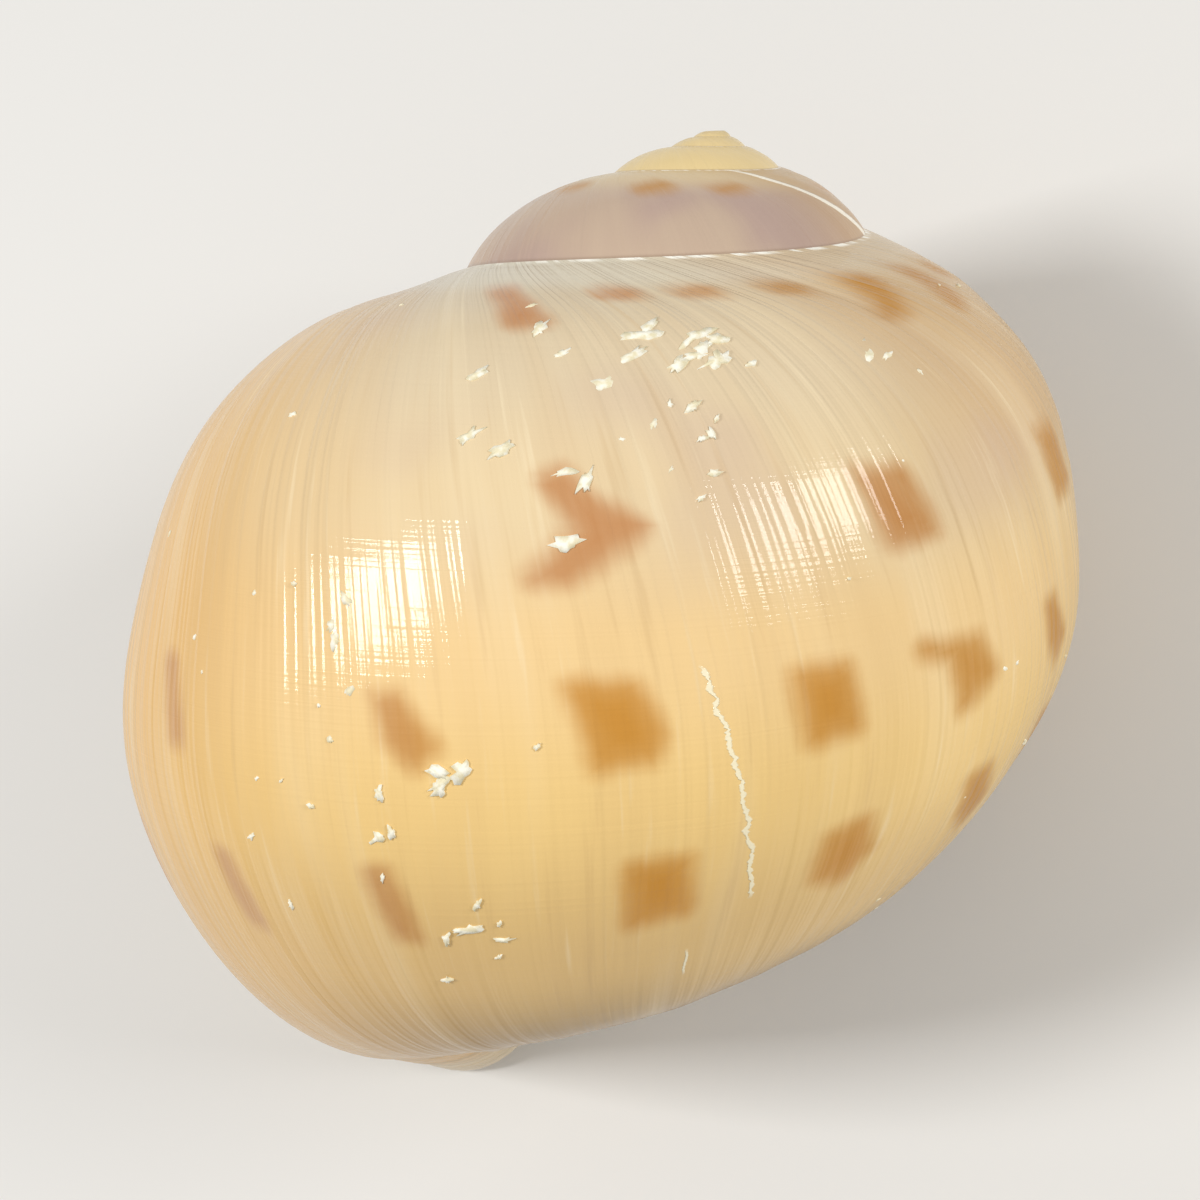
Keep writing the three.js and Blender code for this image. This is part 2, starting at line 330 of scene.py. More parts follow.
def skin(surface):
    """The outer skin: spire, last whorl, base and umbilicus."""
    columns = round((LIP_TURN - FIRST_TURN) * STEPS_PER_TURN)
    last_whorl = columns - STEPS_PER_TURN
    start_turn = LIP_TURN - columns / STEPS_PER_TURN

    crown = on_section(FIRST_TURN, math.radians(-90))[1]
    apex = surface.add(start_turn, 0.0, coil(0.0, np.array([0.0, crown])), 0)
    floor = surface.add(0.0, math.pi, coil(0.0, np.array([0.0, UMBILICUS_FLOOR])), 0)

    # The spire's columns run from their own suture to the next one
    turn = (start_turn + np.arange(last_whorl + 1) / STEPS_PER_TURN)[:, None]
    row = np.arange(SPIRE_ROWS + 1)[None, :]
    bearing = mix(suture_bearing(turn), covered_bearing(turn), row / SPIRE_ROWS)
    turn = np.broadcast_to(turn, bearing.shape)
    spire = surface.add(turn, bearing, coil(turn, on_section(turn, bearing)), 0)

    # The last whorl's columns run from the suture to the umbilicus. At the lip they follow the
    # growth lines. One turn earlier a row lies on the next suture, and one on the hollow's corner.
    own, before = inner_corner(LIP_TURN)
    corner_lag = lag(LIP_TURN, own)
    row = np.arange(BASE_ROW + 1)
    covered = row <= SPIRE_ROWS
    beyond = np.clip((row - SPIRE_ROWS - 1) / (BASE_ROW - SPIRE_ROWS - 1), 0, 1)
    turn_before = LIP_TURN - 1
    start = suture_bearing(turn_before)
    span = BASE_BEARING - start
    covered_share = np.where(
        covered,
        row / SPIRE_ROWS * (covered_bearing(turn_before) - start) / span,
        (mix(before, BASE_BEARING, beyond) - start) / span,
    )
    covered_lag = np.where(covered, 0, mix(corner_lag, LIP_LAG, ease(beyond)))

    along = (np.arange(STEPS_PER_TURN + 1) / STEPS_PER_TURN)[:, None]
    turn = turn_before + along
    share = mix(covered_share, row / BASE_ROW, along)
    here = mix(suture_bearing(turn), BASE_BEARING, share)
    fallen = turn - mix(covered_lag, lag(turn, here), along)
    bearing = mix(suture_bearing(fallen), BASE_BEARING, share)
    whorl = surface.add(fallen, bearing, coil(fallen, on_section(fallen, bearing)), 0)

    rows_in = LAST_ROW - BASE_ROW
    share = (np.arange(1, rows_in + 1) / rows_in)[None, :]
    fallen = turn - LIP_LAG
    fallen = np.broadcast_to(fallen, (STEPS_PER_TURN + 1, rows_in))
    bearing = np.broadcast_to(mix(BASE_BEARING, math.pi, share), fallen.shape)
    basin = surface.add(fallen, bearing, coil(fallen, umbilicus(fallen, share)), 0)
    last = np.concatenate([whorl, basin], 1)

    surface.sheet(spire)
    surface.sheet(last)

    surface.weld(spire[0], apex)
    surface.weld(spire[: STEPS_PER_TURN + 1, 0], apex)
    surface.weld(spire[1 : last_whorl + 1 - STEPS_PER_TURN, -1], spire[STEPS_PER_TURN + 1 :, 0])
    surface.weld(spire[0, -1], apex)
    late = np.arange(last_whorl + 1 - STEPS_PER_TURN, last_whorl)
    surface.weld(spire[late, -1], last[late + STEPS_PER_TURN - last_whorl, 0])
    surface.weld(spire[-1], last[0, : SPIRE_ROWS + 1])
    surface.weld(last[0, SPIRE_ROWS], last[-1, 0])
    surface.weld(last[:, -1], floor)
    return last, covered_lag


def hollow(surface, last, covered_lag):
    """The inside of the tube. Returns the edge that it shares with the lip."""
    steps = round(HOLLOW_TURNS * HOLLOW_STEPS_PER_TURN)
    turn = (LIP_TURN - np.arange(steps + 1) / HOLLOW_STEPS_PER_TURN)[:, None]
    leaning = ease(1 - (LIP_TURN - turn) / LEANING_TURNS)
    own, before = inner_corner(turn)

    row = np.arange(SPIRE_ROWS + 1, BASE_ROW + 1)
    share = (row - row[0]) / (row[-1] - row[0])
    fallen = turn - 1 - leaning * covered_lag[row]
    bearing = mix(before, BASE_BEARING, share)
    over_whorl = surface.add(fallen, bearing, coil(fallen, on_section(fallen, bearing)), 1)
    surface.weld(over_whorl[0], last[0, row])

    row = np.arange(1, BASE_ROW + 1)
    bearing = mix(own, COLUMELLA_BEARING, row / BASE_ROW)
    fallen = turn - leaning * lag(turn, bearing)
    places = coil(fallen, inward(fallen, bearing, wall(fallen)))
    under_wall = surface.add(fallen, bearing, places, 1)

    rows_in = 2 * (LAST_ROW - BASE_ROW)
    share = (np.arange(1, rows_in) / rows_in)[None, :]
    fallen = np.broadcast_to(turn - leaning * LIP_LAG, (steps + 1, rows_in - 1))
    bearing = np.broadcast_to(mix(BASE_BEARING, math.pi, share), fallen.shape)
    up_columella = surface.add(fallen, bearing, coil(fallen, columella(fallen, share)), 1)

    inner = np.concatenate([over_whorl[:, :1], under_wall, up_columella, over_whorl[:, -1:]], 1)
    surface.sheet(inner)
    surface.sheet(over_whorl, flip=True)
    surface.strip(inner[-1].tolist(), over_whorl[-1].tolist())
    return inner[0]


def lip(surface, last, inner_edge):
    """The rounded edge around the aperture, from the outer skin to the hollow."""
    outer_edge = np.concatenate([last[-1], last[0, LAST_ROW - 1 : BASE_ROW - 1 : -1]])
    outer, inner = surface.place(outer_edge), surface.place(inner_edge)
    inner[0], inner[-1] = surface.place(last[0, SPIRE_ROWS + 1]), outer[-1]
    width = np.linalg.norm(outer - inner, axis=1)
    bulge = np.minimum(LIP_BULGE * width, LIP_BULGE_MOST)

    azimuth = LIP_AZIMUTH + 2 * np.pi * LIP_LAG
    middle = (outer + inner) / 2
    radial = middle + 0.25 * COIL_RADIUS * np.array([math.cos(azimuth), math.sin(azimuth), 0])
    forward = np.stack([radial[:, 1], -radial[:, 0], 0 * radial[:, 0]], -1)
    forward /= np.linalg.norm(forward, axis=1, keepdims=True)

    turns = np.concatenate(surface.turns)[outer_edge]
    bearings = np.concatenate(surface.bearings)[outer_edge]
    chains = [outer_edge]
    for step in range(1, RIM_ROWS + 1):
        angle = math.pi * step / (RIM_ROWS + 1)
        places = mix(outer, inner, (1 - math.cos(angle)) / 2)
        places = places + forward * (bulge * math.sin(angle))[:, None]
        chain = surface.add(turns, bearings, places, step / (RIM_ROWS + 1))
        surface.weld(chain[0], outer_edge[0])
        surface.weld(chain[-1], outer_edge[-1])
        chains.append(chain)
    chains.append(inner_edge)
    surface.sheet(np.array(chains))


def laying_down(shell_places):
    """The move that tips the shell on to its aperture and fits it into the CAD box, where what
    would be below the floor is worn flat."""
    tip = np.array(Matrix.Rotation(-AXIS_TIP, 3, "X")).T
    tipped = shell_places @ tip
    low, high = tipped.min(0), tipped.max(0)
    margin = np.array([BOX_MARGIN, BOX_MARGIN, 0])
    box_low, box_high = np.array(cad_low) / MM + margin, np.array(cad_high) / MM - BOX_MARGIN
    snug = min(((box_high - box_low) / (high - low))[:2].min(), 1)
    shift = (box_low + box_high) / 2 - snug * (low + high) / 2
    shift[2] = box_high[2] - snug * high[2]

    def move(places):
        return np.clip(snug * (places @ tip) + shift, box_low, box_high)

    return move


# ---------------------------------------------------------------- markings

# Outlines of spots, in millimetres from their middle: towards the lip, then towards the base
BLOCK = ((1.4, -1.4), (-0.6, -1.4), (-1.4, 0.4), (-1.0, 1.2), (0.8, 1.2))
BRICK = ((1.0, -1.2), (-0.8, -1.2), (-1.0, 1.0), (0.8, 1.2))
DIAMOND = ((0.8, -1.0), (-0.6, -1.2), (-1.2, 0.2), (-0.4, 1.2), (0.8, 0.8))
SLANT = ((1.0, -1.2), (0.0, -1.2), (-1.0, 0.6), (-0.4, 1.2), (0.6, 0.4))
LEANING = ((-0.8, -1.4), (-2.0, -1.2), (0.4, 1.2), (1.6, 1.4))
STREAK = ((0.5, -1.4), (0.0, -1.4), (-0.6, 1.4), (0.0, 1.4))
HOOK = ((1.8, -1.2), (-0.8, -1.0), (-1.4, 0.4), (0.2, 1.2), (0.6, -0.6))
FORK = (
    (1.0, -1.6), (0.2, -1.8), (-0.8, -0.6), (-2.2, -0.2),
    (-0.8, 0.6), (0.8, 1.8), (2.2, 1.8), (-0.2, 0.0),
)
UPRIGHT = ((0.6, -1.4), (-0.6, -1.6), (-0.6, 1.4), (0.6, 1.6))
SMUDGE = ((0.7, 0.2), (0.0, -0.3), (-0.7, -0.2), (-0.1, 0.3))
DASH = ((0.5, 0.2), (0.1, 0.0), (-0.6, -0.2), (-0.1, 0.1))

# Rows of spots near the lip and one turn before: bearing, then each growth line and outline
NEAR_ROWS = (
    (-90, ((-0.14, SMUDGE), (-0.18, SMUDGE), (-0.23, SMUDGE))),
    (-86, ((-0.08, UPRIGHT), (-0.27, LEANING), (-0.33, LEANING))),
    (-36, ((-0.08, FORK), (-0.18, BRICK), (-0.28, BRICK))),
    (8, ((0.07, STREAK), (-0.02, SLANT), (-0.08, BLOCK), (-0.14, BRICK), (-0.19, HOOK))),
    (10, ((-0.25, SLANT),)),
    (45, ((0.05, STREAK), (-0.01, STREAK), (-0.09, BRICK), (-0.15, DIAMOND), (-0.21, SLANT))),
    (-88, ((-0.99, DASH), (-1.10, DASH), (-1.19, DASH))),
)
# They go on around the shell, evenly: bearing, first growth line, last, spacing, outline
FAR_ROWS = (
    (-88, -0.93, -0.38, 0.060, SMUDGE),
    (-88, -1.55, -1.32, 0.095, DASH),
    (-35, -0.84, -0.35, 0.095, DIAMOND),
    (8, -0.80, -0.29, 0.064, BRICK),
    (45, -0.80, -0.24, 0.066, BRICK),
    (-35, 0.17, 0.23, 0.095, STREAK),
    (9, 0.14, 0.23, 0.070, STREAK),
    (45, 0.12, 0.23, 0.066, STREAK),
)


def all_spots():
    rng = np.random.default_rng(8)
    spots = [(line, bearing, outline) for bearing, row in NEAR_ROWS for line, outline in row]
    for bearing, first, last, spacing, outline in FAR_ROWS:
        for line in np.arange(first, last, spacing):
            line += rng.normal(0, 0.08 * spacing)
            lean = rng.normal(0, 0.15)
            size = rng.uniform(0.75, 1.15) * math.exp(0.35 * min(line + 0.2, 0))
            shape = tuple(
                ((x + lean * y) * size + rng.normal(0, 0.1), y * size + rng.normal(0, 0.1))
                for x, y in outline
            )
            spots.append((line, bearing + rng.normal(0, 1.5), shape))
    return spots


def outline_distance(x, y, outline):
    """Distance from an outline, negative inside."""
    points = np.array(outline)
    after = np.roll(points, -1, 0)
    nearest = np.full(x.shape, np.inf)
    inside = np.zeros(x.shape, bool)
    for (ax, ay), (bx, by) in zip(points, after):
        ex, ey = bx - ax, by - ay
        share = np.clip(((x - ax) * ex + (y - ay) * ey) / (ex * ex + ey * ey), 0, 1)
        nearest = np.minimum(nearest, np.hypot(x - ax - share * ex, y - ay - share * ey))
        crosses = (ay > y) != (by > y)
        slope = np.divide(ex, ey, out=np.zeros(1), where=np.array([ey != 0]))[0]
        inside ^= crosses & (x < ax + (y - ay) * slope)
    return np.where(inside, -nearest, nearest)


FAR = 2.0  # the greatest distance from a spot that is kept
ROUNDING = 0.24  # how far the corners of a spot are rounded
CORE_SHARE = 0.82  # how far the outlines shrink to make room for that
SPOT_REACH = (6, 5)  # a spot matters no further away than this, along and across


def spot_distance(line, bearing):
    distance = np.full(line.shape, FAR)
    for spot_line, spot_bearing, outline in all_spots():
        at = math.radians(spot_bearing)
        turn = spot_line - float(lag(spot_line, at))
        radius = float(on_section(turn, at)[0])
        x = (line - spot_line) * 2 * math.pi * radius
        y = (bearing - at) * float(reach(turn, at))
        near = (np.abs(x) < SPOT_REACH[0]) & (np.abs(y) < SPOT_REACH[1])
        core = [(CORE_SHARE * px, CORE_SHARE * py) for px, py in outline]
        found = outline_distance(x[near], y[near], core) - ROUNDING
        distance[near] = np.minimum(distance[near], found)
    return distance


# Patches of chalky flecks stuck to the shell: growth line, bearing, number of flecks, then
# their spread and size in millimetres
FLECK_PATCHES = (
    (-0.08, -40, 3, 0.6, 0.7),
    (-0.09, -70, 5, 1.3, 0.7),
    (-0.14, -67, 10, 1.2, 0.7),
    (-0.12, -50, 8, 1.1, 0.3),
    (-0.06, -62, 3, 0.9, 0.6),
    (-0.21, -66, 2, 0.5, 0.9),
    (0.00, -20, 3, 0.7, 0.5),
    (-0.04, 18, 4, 0.8, 0.5),
    (-0.02, 32, 5, 1.2, 0.45),
    (-0.03, 50, 7, 1.0, 0.5),
    (0.03, 28, 6, 1.6, 0.25),
)
FLECK_HEADING = (0.9, 0.6)  # radians from the lipward way to the base: mean and spread
FLECK_GRAINS = 60  # tiny ones all over
FLECK_POINTS = 14  # of a fleck's outline
FLECK_BEND_RADIUS = 10  # of the curved shell that a fleck lies on
# Heights over the shell: middle, edge, and under it the foot of the sides and the lowest point
FLECK_CREST, FLECK_EDGE, FLECK_SIDE, FLECK_FOOT = 0.035, 0.015, -0.08, -0.12


def surface_point(line, bearing):
    """The place of a growth line and bearing on the outer skin, and its outward normal."""
    turn = line - float(lag(line, bearing))
    small = 1e-3
    here = coil(turn, on_section(turn, bearing))
    along = coil(turn + small, on_section(turn + small, bearing)) - here
    across = coil(turn, on_section(turn, bearing + small)) - here
    normal = np.cross(along, across)
    return here, along / np.linalg.norm(along), across / np.linalg.norm(across), normal


def fleck(line, bearing, along, across, width, rng):
    """A low chalky crumb: a ragged outline stretched along its run, sunk into the surface."""
    here, lipward, baseward, normal = surface_point(line, math.radians(bearing))
    normal = normal / np.linalg.norm(normal)
    run = lipward * along + baseward * across
    length = max(math.hypot(along, across), width)
    run = run / np.linalg.norm(run)
    side = np.cross(normal, run)
    angle = 2 * np.pi * np.arange(FLECK_POINTS) / FLECK_POINTS
    ragged = rng.uniform(0.5, 1.5, FLECK_POINTS)
    bend = rng.normal(0, 0.12) * length
    x = np.cos(angle) * ragged * length / 2
    y = np.sin(angle) * ragged * width / 2 + bend * (x / length) ** 2
    flat = here + run * x[:, None] + side * y[:, None]
    # The outline follows the shell's curve
    drop = -(x**2 + y**2) / (2 * FLECK_BEND_RADIUS)
    low = flat + normal * (drop + FLECK_SIDE)[:, None]
    high = flat + normal * (drop + FLECK_EDGE)[:, None]
    crest = here + normal * FLECK_CREST
    foot = here + normal * FLECK_FOOT
    return np.concatenate([low, high, crest[None], foot[None]])


def patch_flecks(rng):
    """The flecks of every patch: growth line, bearing, run towards lip and base, and width."""
    entries = []
    for line, bearing, count, spread, size in FLECK_PATCHES:
        at = math.radians(bearing)
        turn = line - float(lag(line, at))
        around = 2 * math.pi * float(on_section(turn, at)[0])
        across = float(reach(turn, at))
        for _ in range(count):
            aside, down = rng.normal(0, spread, 2)
            place = (line + aside / around, bearing + math.degrees(down / across))
            length = size * rng.uniform(0.5, 1.6)
            heading = rng.normal(*FLECK_HEADING)
            splinters = [(heading, length)]
            if rng.random() < 0.35:
                splinters.append((heading + rng.uniform(0.4, 1.2), 0.65 * length))
            for way, long in splinters:
                run = (long * math.cos(way), long * math.sin(way))
                entries.append((*place, *run, long * rng.uniform(0.3, 0.6)))
    return entries


def fleck_mesh(move):
    rng = np.random.default_rng(5)
    entries = patch_flecks(rng)
    for _ in range(FLECK_GRAINS):
        size = rng.uniform(0.08, 0.2)
        run = rng.normal(0, size, 2)
        entries.append((rng.uniform(-0.75, 0.22), rng.uniform(-85, 75), *run, size))
    places, faces, first = [], [], 0
    for entry in entries:
        ring = fleck(*entry, rng)
        places.append(ring)
        count = FLECK_POINTS
        for k in range(count):
            after = (k + 1) % count
            faces.append((first + k, first + after, first + count + after, first + count + k))
            faces.append((first + count + k, first + count + after, first + 2 * count))
            faces.append((first + after, first + k, first + 2 * count + 1))
        first += len(ring)
    mesh = bpy.data.meshes.new("fleck_surface")
    mesh.from_pydata((move(np.concatenate(places)) * MM).tolist(), [], faces)
    mesh.shade_smooth()
    mesh.update()
    return mesh


# Uneven growth, coarse to fine: spacing of the ridges in turns and their height
UNEVENNESS = ((0.045, 0.05), (0.017, 0.02), (0.009, 0.008))
UNEVEN_START = -6.5  # the growth line where it sets in
UNEVEN_TURNS = 8
CLEAR_OF_SUTURE = math.radians(14)  # within this it fades out towards the suture
SMOOTH_BASE = math.radians(150)  # from here on the base is smooth
SMOOTH_BASE_FADE = math.radians(50)


def unevenness(line):
    """How far the growth lines stand proud."""
    rng = np.random.default_rng(21)
    height = np.zeros(line.shape)
    for spacing, size in UNEVENNESS:
        count = int(UNEVEN_TURNS / spacing)
        knots = (np.arange(count) + rng.uniform(-0.3, 0.3, count)) * spacing + UNEVEN_START
        height += np.interp(line, knots, rng.normal(0, size, count))
    return height


# ---------------------------------------------------------------- shell object


def shell_mesh():
    surface = Surface()
    last, covered_lag = skin(surface)
    lip(surface, last, hollow(surface, last, covered_lag))
    used, vertex, faces = surface.merged()

    turn, bearing = np.concatenate(surface.turns), np.concatenate(surface.bearings)
    inside = np.concatenate(surface.insides)
    line = turn + lag(turn, bearing)
    places = np.concatenate(surface.places)[used]

    mesh = bpy.data.meshes.new("shell_surface")
    mesh.from_pydata(places.tolist(), [], [[int(vertex[s]) for s in face] for face in faces])
    mesh.update()

    # Growth lines stand a little proud, less on the small early whorls and near the sutures
    normals = np.empty(len(places) * 3)
    mesh.vertex_normals.foreach_get("vector", normals)
    normals = normals.reshape(-1, 3)
    clear = ease((bearing[used] - suture_bearing(turn[used])) / CLEAR_OF_SUTURE)
    fade = ease((SMOOTH_BASE - bearing[used]) / SMOOTH_BASE_FADE)
    strength = clear * fade * growth(turn[used]) * (inside[used] == 0)
    places += normals * (unevenness(line[used]) * strength)[:, None]

    move = laying_down(places)
    mesh.vertices.foreach_set("co", (move(places) * MM).ravel())

    corners = np.array([s for face in faces for s in face])
    spot = spot_distance(line, bearing)
    layers = {
        "growth": (line, bearing),
        "marks": (spot, inside),
        "seam": (
            bearing - suture_bearing(turn),
            np.where(turn < LIP_TURN - 1, covered_bearing(turn) - bearing, math.pi),
        ),
    }
    for name, (u, v) in layers.items():
        layer = mesh.uv_layers.new(name=name)
        layer.data.foreach_set("uv", np.stack([u[corners], v[corners]], -1).ravel())
    mesh.shade_smooth()
    mesh.update()
    return mesh, move


# ---------------------------------------------------------------- materials


def srgb(red, green, blue):
    """A colour given as 0 to 255, as Blender's linear colour."""
    shares = [c / 255 for c in (red, green, blue)]
    return [c / 12.92 if c < 0.04045 else ((c + 0.055) / 1.055) ** 2.4 for c in shares] + [1.0]


class Nodes:
    """Short names for the shader nodes used here. Inputs are numbers, colours or sockets."""

    def __init__(self, material):
        material.use_nodes = True
        self.tree = material.node_tree
        self.tree.nodes.clear()

    def add(self, kind, inputs=None, **settings):
        node = self.tree.nodes.new(kind)
        for name, value in settings.items():
            setattr(node, name, value)
        for name, value in (inputs or {}).items():
            self.put(node.inputs[name], value)
        return node

    def put(self, socket, value):
        if isinstance(value, bpy.types.NodeSocket):
            self.tree.links.new(value, socket)
        else:
            socket.default_value = value

    def math(self, operation, a, b=0.0):
        return self.add("ShaderNodeMath", {0: a, 1: b}, operation=operation).outputs[0]

    def plus(self, a, b):
        return self.math("ADD", a, b)

    def minus(self, a, b):
        return self.math("SUBTRACT", a, b)

    def times(self, a, b):
        return self.math("MULTIPLY", a, b)

    def fade(self, value, start, end, low=0.0, high=1.0):
        """Goes smoothly from low to high as the value goes from start to end."""
        inputs = {"Value": value, "From Min": start, "From Max": end, "To Min": low, "To Max": high}
        node = self.add("ShaderNodeMapRange", inputs, interpolation_type="SMOOTHSTEP")
        return node.outputs[0]

    def mix(self, share, a, b):
        """Colour a, with a share of colour b mixed in. Sockets 6, 7 and 2 are the colour ones."""
        node = self.add("ShaderNodeMix", data_type="RGBA")
        for name, value in {"Factor": share, 6: a, 7: b}.items():
            self.put(node.inputs[name], value)
        return node.outputs[2]

    def centred(self, noise, size):
        """Noise moved to lie around zero, with a given size."""
        return self.times(self.minus(noise, 0.5), size)

    def vector(self, x, y, z=0.0):
        return self.add("ShaderNodeCombineXYZ", {0: x, 1: y, 2: z}).outputs[0]

    def noise(self, vector, scale=1.0, detail=2.0, roughness=0.5):
        inputs = {"Vector": vector, "Scale": scale, "Detail": detail, "Roughness": roughness}
        return self.add("ShaderNodeTexNoise", inputs).outputs["Fac"]

    def ramp(self, value, stops):
        node = self.add("ShaderNodeValToRGB", {"Fac": value})
        ramp = node.color_ramp
        ramp.interpolation = "EASE"
        while len(ramp.elements) < len(stops):
            ramp.elements.new(0.5)
        for element, (place, colour) in zip(ramp.elements, stops):
            element.position = place
            element.color = colour
        return node.outputs["Color"]

    def uv(self, name):
        """The two values of a UV layer."""
        layer = self.add("ShaderNodeUVMap", uv_map=name).outputs[0]
        return self.add("ShaderNodeSeparateXYZ", {0: layer}).outputs[:2]


class ShellNodes(Nodes):
    """Nodes with the places on the shell that its colours and relief follow."""

    def __init__(self, material):
        super().__init__(material)
        self.line, self.bearing = self.uv("growth")
        self.spot, self.inside = self.uv("marks")
        self.past_suture, self.before_next = self.uv("seam")
        self.place = self.add("ShaderNodeTexCoord").outputs["Object"]
        self.degrees = self.times(self.bearing, 180 / math.pi)
        self.fine = self.streaks(170, 0.8, 3)

    def streaks(self, per_turn, across, detail):
        """Noise drawn out along the lines where the shell was once the lip."""
        along = self.vector(self.times(self.line, per_turn), self.times(self.bearing, across))
        return self.noise(along, 1, detail, 0.6)


RAMP_START, RAMP_SPAN = -120, 300  # degrees of bearing that the body's colour ramp covers


def across_stop(degrees):
    """Place of a bearing on the body's colour ramp."""
    return (degrees - RAMP_START) / RAMP_SPAN


def body_colour_and_shade(n):
    """Grey-beige shoulder, warm cream middle and olive-beige base; tan near the lip.
    Painted shade darkens the base near its lower edge and the whorl further back from the lip.
    """
    wander = n.centred(n.noise(n.place, 90, 2), 14)
    across = n.math("DIVIDE", n.minus(n.plus(n.degrees, wander), RAMP_START), RAMP_SPAN)
    colour = n.ramp(across, [
        (across_stop(-112), srgb(205, 205, 190)),
        (across_stop(-95), srgb(212, 195, 165)),
        (across_stop(-72), srgb(222, 203, 170)),
        (across_stop(-42), srgb(230, 206, 163)),
        (across_stop(-8), srgb(241, 207, 149)),
        (across_stop(28), srgb(244, 208, 137)),
        (across_stop(60), srgb(228, 192, 128)),
        # Partly painted shade: this stop is darker than the base's own olive-beige and stands in for
        # shade along the base's lower edge
        (across_stop(90), srgb(156, 126, 80)),
        (across_stop(125), srgb(208, 188, 152)),
        (across_stop(170), srgb(235, 225, 205)),
    ])
    tan = n.fade(n.plus(n.line, n.centred(n.noise(n.place, 60, 1), 0.12)), -0.06, 0.10)
    colour = n.mix(n.times(tan, 0.85), colour, srgb(225, 180, 112))
    pink = n.times(n.fade(n.degrees, -15, -50), n.fade(n.line, -0.17, -0.28))
    colour = n.mix(n.times(pink, 0.75), colour, srgb(208, 168, 124))
    # Painted shade: darker and browner further back from the lip, on the side that gets less light
    return n.mix(n.fade(n.line, -0.14, -0.34, 0, 0.5), colour, srgb(198, 166, 108))


def early_colour(n):
    """The early whorls: lavender grey, tan beyond the scar, and cream at the tip."""
    patch = n.fade(n.noise(n.place, 160, 2), 0.42, 0.62)
    colour = n.mix(patch, srgb(194, 171, 150), srgb(182, 157, 146))
    colour = n.mix(n.fade(n.degrees, -80, -98), colour, srgb(214, 190, 148))
    after_scar = n.fade(n.line, -1.18, -1.32)
    colour = n.mix(n.times(after_scar, 0.75), colour, srgb(192, 158, 112))
    return n.mix(n.fade(n.line, -1.55, -1.95), colour, srgb(228, 204, 150))


def with_clouds(n, colour):
    """Mauve-grey clouds on the shoulder."""
    cloud = n.fade(n.noise(n.place, 110, 2), 0.48, 0.68)
    shoulder = n.times(n.fade(n.degrees, -8, -50), n.fade(n.line, -1.0, -0.6))
    return n.mix(n.times(n.times(cloud, shoulder), 0.35), colour, srgb(196, 170, 158))


def with_growth_lines(n, colour):
    """Broad and fine streaks, faint on the early whorls."""
    shown = n.fade(n.line, -1.0, -0.7, 0.15, 1.0)
    broad = n.streaks(30, 0.4, 2)
    for share, hue in (
        (n.fade(broad, 0.45, 0.72, 0, 0.16), srgb(212, 174, 118)),
        (n.fade(broad, 0.50, 0.28, 0, 0.25), srgb(248, 230, 192)),
        (n.fade(n.fine, 0.58, 0.76, 0, 0.35), srgb(250, 234, 198)),
        (n.fade(n.fine, 0.44, 0.28, 0, 0.20), srgb(190, 154, 104)),
    ):
        colour = n.mix(n.times(shown, share), colour, hue)
    return colour


def with_spots(n, colour):
    """Spots with soft edges: mauve brown near the lip, amber on the middle, ochre further back."""
    ragged = n.centred(n.noise(n.place, 380, 3), 0.7)
    edge = n.plus(n.plus(n.spot, ragged), n.centred(n.fine, 0.35))
    depth = n.plus(n.fade(edge, 0.48, -0.44, 0, 0.80), n.fade(edge, -0.25, -0.95, 0, 0.12))
    depth = n.times(depth, n.fade(n.line, -0.04, 0.05, 1.0, 0.72))
    hue = n.mix(n.fade(n.degrees, -25, 0), srgb(192, 130, 76), srgb(200, 136, 40))
    hue = n.mix(n.fade(n.line, -0.12, -0.26), hue, srgb(186, 126, 22))
    hue = n.mix(n.fade(n.line, -0.05, 0.02), hue, srgb(184, 128, 88))
    return n.mix(depth, colour, hue)


def with_suture(n, colour):
    """A pale band below the suture, a painted highlight on it drawn as a broken white line, and a
    brown line above it.
    """
    past = n.times(n.past_suture, 180 / math.pi)
    from_lip = n.plus(n.line, n.centred(n.noise(n.place, 200, 1), 0.1))
    pale = n.times(n.fade(past, 13, 6), n.fade(from_lip, -0.30, -0.12, 0.35, 0.6))
    colour = n.mix(n.times(pale, n.fade(n.line, -1.1, -0.9)), colour, srgb(218, 213, 196))
    # Painted highlight: a broken white line standing in for the glint on the suture's bead
    highlight_dashes = n.noise(n.vector(n.times(n.line, 60), 0.0), 1, 1)
    painted_bead_highlight = n.times(n.fade(past, 1.4, 0.5), n.fade(highlight_dashes, 0.46, 0.54))
    painted_bead_highlight = n.times(painted_bead_highlight, n.fade(n.line, 0.0, -0.2, 0.12, 1.0))
    colour = n.mix(painted_bead_highlight, colour, srgb(255, 252, 240))
    brown = n.times(n.fade(n.before_next, 0.03, 0.0), n.fade(n.spot, -1, 0))
    return n.mix(n.times(brown, 0.45), colour, srgb(150, 122, 100))


def drawn_line(n, middle_line, wiggle, half_width, low, high):
    """A jagged line that follows a growth line between two bearings in degrees."""
    jag = n.noise(n.vector(n.times(n.bearing, 14), 3.0), 1, 3, 0.65)
    off = n.minus(n.line, n.plus(middle_line, n.centred(jag, wiggle)))
    drawn = n.fade(n.math("ABSOLUTE", off), half_width, n.times(half_width, 0.5))
    ends = n.times(n.fade(n.degrees, low, low + 2), n.fade(n.degrees, high, high - 2))
    return n.times(drawn, ends)


def crack(n):
    """A healed crack across the middle, and a short piece of it further down."""
    leaning = n.plus(-0.1055, n.times(n.degrees, -0.00028))
    thick = n.noise(n.vector(n.times(n.bearing, 30), 8.0), 1, 1)
    longer = drawn_line(n, leaning, 0.007, n.fade(thick, 0.35, 0.65, 0.0005, 0.0013), -5, 51)
    return n.math("MAXIMUM", longer, drawn_line(n, -0.1015, 0.004, 0.0006, 60, 68))


